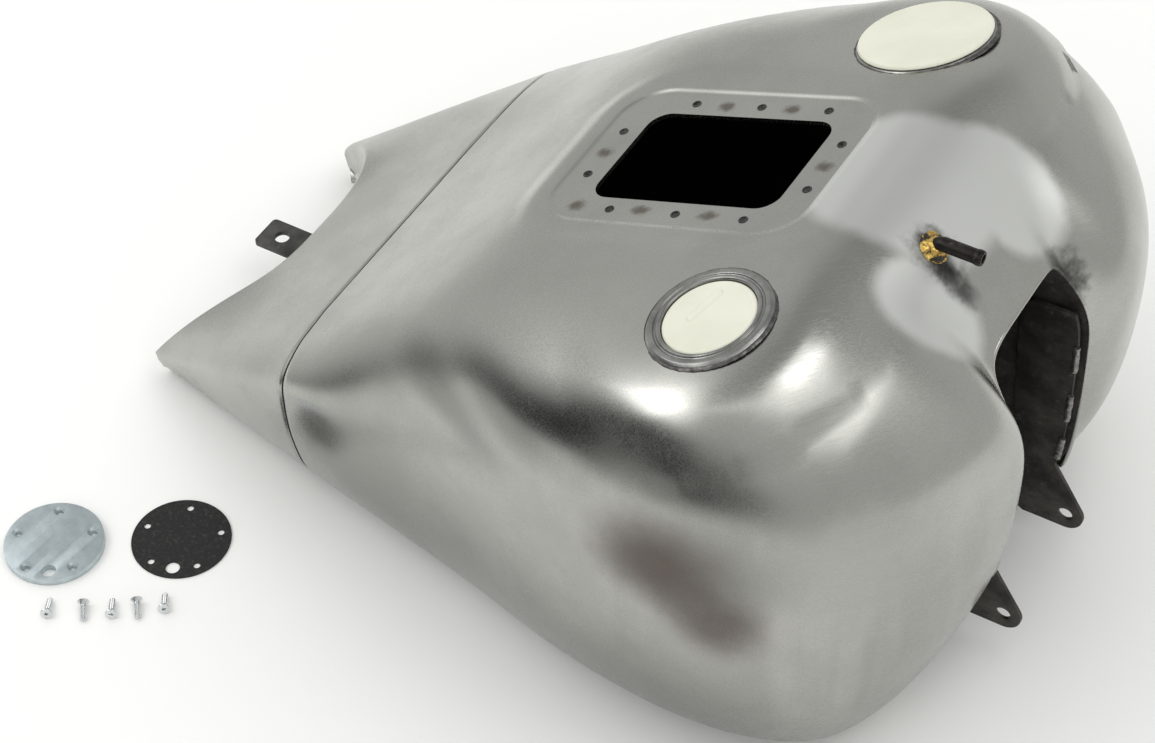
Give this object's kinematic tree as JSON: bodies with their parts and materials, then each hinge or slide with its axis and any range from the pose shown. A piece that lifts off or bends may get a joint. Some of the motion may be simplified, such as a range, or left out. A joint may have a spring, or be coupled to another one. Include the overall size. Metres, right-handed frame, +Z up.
{
  "type": "motorcycle fuel tank",
  "caption": "Stretched one-piece steel motorcycle fuel tank, two lobes over a frame tunnel, with pump opening, filler plug, gauge cup and loose sender cover kit.",
  "frame": {"origin": "on the table that the tank rests on, directly below the centre of the fuel-pump flange and in the tank's plane of symmetry", "axes": "+X to the front of the tank, +Y to its left, +Z up"},
  "size_m": [0.6383, 0.5844, 0.3248],
  "materials": {
    "bare_steel": "satin, brushed, with fine scratches",
    "dark_steel": "dark mill scale, satin",
    "turned_steel": "turned rings, semi-gloss",
    "brazing_brass": "rough, as brazed",
    "white_plastic": "satin moulded",
    "seal_rubber": "matte",
    "zinc_plate": "bluish zinc, satin",
    "zinc_screws": "bright zinc",
    "gasket_fibre": "matte black fibre"
  },
  "bodies": {
    "root": {"top_skin": "bare_steel", "tail_skin": "bare_steel", "tail_plate": "bare_steel", "tunnel": "dark_steel", "floor_pan_left": "bare_steel", "floor_pan_right": "bare_steel", "pump_flange": "bare_steel", "filler_neck": "turned_steel", "gauge_cup": "turned_steel", "sender_flange": "turned_steel", "vent_tube": "dark_steel", "vent_braze": "brazing_brass", "front_bracket_left": "dark_steel", "front_bracket_right": "dark_steel", "rear_tab": "dark_steel", "crossover_left": "turned_steel", "crossover_right": "turned_steel"},
    "filler_seal": {"filler_plug_seal": "seal_rubber"},
    "filler_plug": {"filler_plug": "white_plastic"},
    "gauge_cap": {"gauge_cap": "white_plastic"},
    "cover_plate": {"cover_plate": "zinc_plate"},
    "cover_gasket": {"cover_gasket": "gasket_fibre"},
    "cover_screw_1": {"cover_screw_1": "zinc_screws"},
    "cover_screw_2": {"cover_screw_2": "zinc_screws"},
    "cover_screw_3": {"cover_screw_3": "zinc_screws"},
    "cover_screw_4": {"cover_screw_4": "zinc_screws"},
    "cover_screw_5": {"cover_screw_5": "zinc_screws"}
  },
  "joints": [
    {"name": "filler_seal_lift", "type": "slide", "parent": "root", "child": "filler_seal", "axis": [-0.307, -0.1132, 0.9449], "range_m": [0, 0.012]},
    {"name": "filler_plug_turn", "type": "hinge", "parent": "filler_seal", "child": "filler_plug", "pos_m": [0.0715, -0.1394, 0.3055], "axis": [-0.307, -0.1132, 0.9449], "range_deg": [0, 1800]},
    {"name": "gauge_cap_lift", "type": "slide", "parent": "root", "child": "gauge_cap", "axis": [-0.307, 0.1132, 0.9449], "range_m": [0, 0.04]},
    {"name": "cover_plate_lift", "type": "slide", "parent": "root", "child": "cover_plate", "axis": [0, 0, 1], "range_m": [0, 0.05]},
    {"name": "cover_gasket_lift", "type": "slide", "parent": "root", "child": "cover_gasket", "axis": [0, 0, 1], "range_m": [0, 0.05]},
    {"name": "cover_screw_1_lift", "type": "slide", "parent": "root", "child": "cover_screw_1", "axis": [0, 0, 1], "range_m": [0, 0.05]},
    {"name": "cover_screw_2_lift", "type": "slide", "parent": "root", "child": "cover_screw_2", "axis": [0, 0, 1], "range_m": [0, 0.05]},
    {"name": "cover_screw_3_lift", "type": "slide", "parent": "root", "child": "cover_screw_3", "axis": [0, 0, 1], "range_m": [0, 0.05]},
    {"name": "cover_screw_4_lift", "type": "slide", "parent": "root", "child": "cover_screw_4", "axis": [0, 0, 1], "range_m": [0, 0.05]},
    {"name": "cover_screw_5_lift", "type": "slide", "parent": "root", "child": "cover_screw_5", "axis": [0, 0, 1], "range_m": [0, 0.05]}
  ],
  "couplings": [
    {"joint": "filler_seal_lift", "follows": "filler_plug_turn", "m_per_rad": 0.00038}
  ]
}
